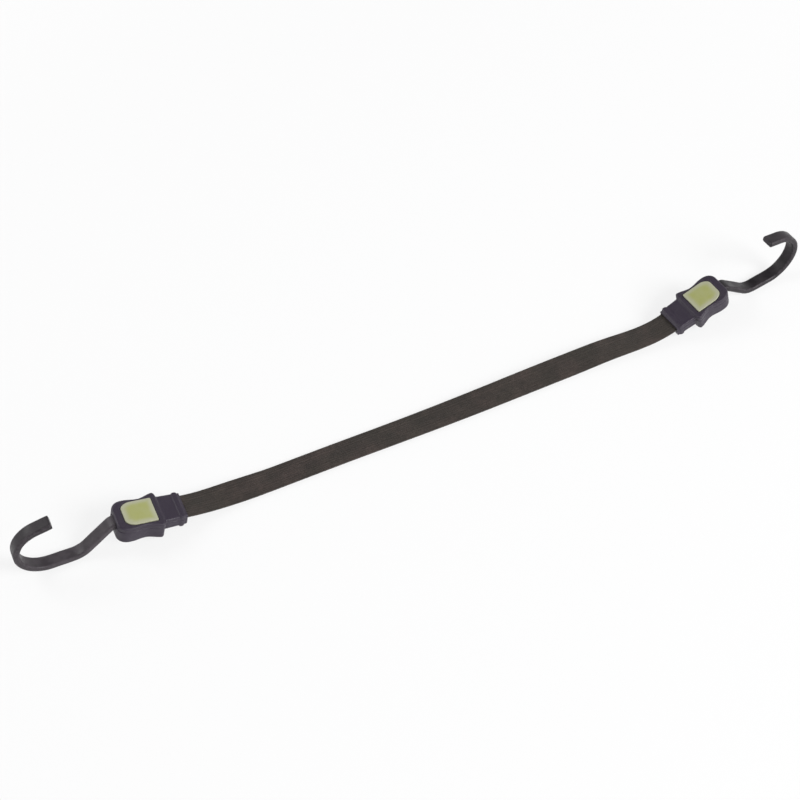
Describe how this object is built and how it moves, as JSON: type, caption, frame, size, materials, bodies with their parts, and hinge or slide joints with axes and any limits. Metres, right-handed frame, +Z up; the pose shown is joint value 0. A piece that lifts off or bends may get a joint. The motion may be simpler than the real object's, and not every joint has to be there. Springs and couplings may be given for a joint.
{
  "type": "bungee cord",
  "caption": "Flat woven elastic tie-down strap with a moulded grip and a coated open hook at each end; it stretches to hold a load and springs back.",
  "frame": {"origin": "middle of the strap's free length, on the flat underside that lies on the table", "axes": "+X along the strap from the left hook to the right hook, +Y across the strap to the back, +Z up out of the table, on the side of the grip pads"},
  "size_m": [0.6301, 0.0341, 0.0495],
  "materials": {
    "strap_weave": "tight flat weave, dark warm grey",
    "strand_rubber": "plain latex strand",
    "grip_plastic": "fine moulded texture, dark purple grey",
    "pad_plastic": "satin yellow-green inlay",
    "hook_vinyl": "dipped vinyl, satin",
    "hook_steel": "bare strip steel",
    "zinc_steel": "zinc plated"
  },
  "bodies": {
    "strap_middle": {"strap_middle_jacket": "strap_weave", "strap_middle_strand_1": "strand_rubber", "strap_middle_strand_2": "strand_rubber", "strap_middle_strand_3": "strand_rubber", "strap_middle_strand_4": "strand_rubber", "strap_middle_strand_5": "strand_rubber"},
    "strap_left": {"strap_left_jacket": "strap_weave", "strap_left_strand_1": "strand_rubber", "strap_left_strand_2": "strand_rubber", "strap_left_strand_3": "strand_rubber", "strap_left_strand_4": "strand_rubber", "strap_left_strand_5": "strand_rubber"},
    "strap_right": {"strap_right_jacket": "strap_weave", "strap_right_strand_1": "strand_rubber", "strap_right_strand_2": "strand_rubber", "strap_right_strand_3": "strand_rubber", "strap_right_strand_4": "strand_rubber", "strap_right_strand_5": "strand_rubber"},
    "left_end": {"left_upper_shell": "grip_plastic", "left_lower_shell": "grip_plastic", "left_grip_pad": "pad_plastic", "left_hook_coat": "hook_vinyl", "left_hook_core": "hook_steel", "left_clamp_top": "zinc_steel", "left_clamp_bottom": "zinc_steel", "left_rivet_inner": "zinc_steel", "left_rivet_outer": "zinc_steel", "left_screw_front": "zinc_steel", "left_screw_back": "zinc_steel", "strap_left_tail_jacket": "strap_weave", "strap_left_tail_strand_1": "strand_rubber", "strap_left_tail_strand_2": "strand_rubber", "strap_left_tail_strand_3": "strand_rubber", "strap_left_tail_strand_4": "strand_rubber", "strap_left_tail_strand_5": "strand_rubber"},
    "right_end": {"right_upper_shell": "grip_plastic", "right_lower_shell": "grip_plastic", "right_grip_pad": "pad_plastic", "right_hook_coat": "hook_vinyl", "right_hook_core": "hook_steel", "right_clamp_top": "zinc_steel", "right_clamp_bottom": "zinc_steel", "right_rivet_inner": "zinc_steel", "right_rivet_outer": "zinc_steel", "right_screw_front": "zinc_steel", "right_screw_back": "zinc_steel", "strap_right_tail_jacket": "strap_weave", "strap_right_tail_strand_1": "strand_rubber", "strap_right_tail_strand_2": "strand_rubber", "strap_right_tail_strand_3": "strand_rubber", "strap_right_tail_strand_4": "strand_rubber", "strap_right_tail_strand_5": "strand_rubber"}
  },
  "joints": [
    {"name": "strap_twist", "type": "hinge", "parent": "strap_middle", "child": "strap_left", "pos_m": [-0.065, 0, 0.0015], "axis": [1, 0, 0], "range_deg": [-180, 180], "stiffness_Nm_per_rad": 0.002, "deforming": ["strap_left_jacket", "strap_left_strand_1", "strap_left_strand_2", "strap_left_strand_3", "strap_left_strand_4", "strap_left_strand_5"]},
    {"name": "strap_stretch", "type": "slide", "parent": "strap_middle", "child": "strap_right", "axis": [1, 0, 0], "range_m": [0, 0.22], "stiffness_N_per_m": 400, "deforming": ["strap_middle_jacket", "strap_middle_strand_1", "strap_middle_strand_2", "strap_middle_strand_3", "strap_middle_strand_4", "strap_middle_strand_5", "strap_right_jacket", "strap_right_strand_1", "strap_right_strand_2", "strap_right_strand_3", "strap_right_strand_4", "strap_right_strand_5"]},
    {"name": "left_flex", "type": "hinge", "parent": "strap_left", "child": "left_end", "pos_m": [-0.17648, 0, 0.00445], "axis": [0, 1, 0], "range_deg": [-90, 90], "deforming": ["strap_left_jacket", "strap_left_strand_1", "strap_left_strand_2", "strap_left_strand_3", "strap_left_strand_4", "strap_left_strand_5", "strap_left_tail_jacket", "strap_left_tail_strand_1", "strap_left_tail_strand_2", "strap_left_tail_strand_3", "strap_left_tail_strand_4", "strap_left_tail_strand_5"]},
    {"name": "right_flex", "type": "hinge", "parent": "strap_right", "child": "right_end", "pos_m": [0.17651, -0.00095, 0.00444], "axis": [0, -1, 0], "range_deg": [-90, 90], "deforming": ["strap_right_jacket", "strap_right_strand_1", "strap_right_strand_2", "strap_right_strand_3", "strap_right_strand_4", "strap_right_strand_5", "strap_right_tail_jacket", "strap_right_tail_strand_1", "strap_right_tail_strand_2", "strap_right_tail_strand_3", "strap_right_tail_strand_4", "strap_right_tail_strand_5"]}
  ]
}
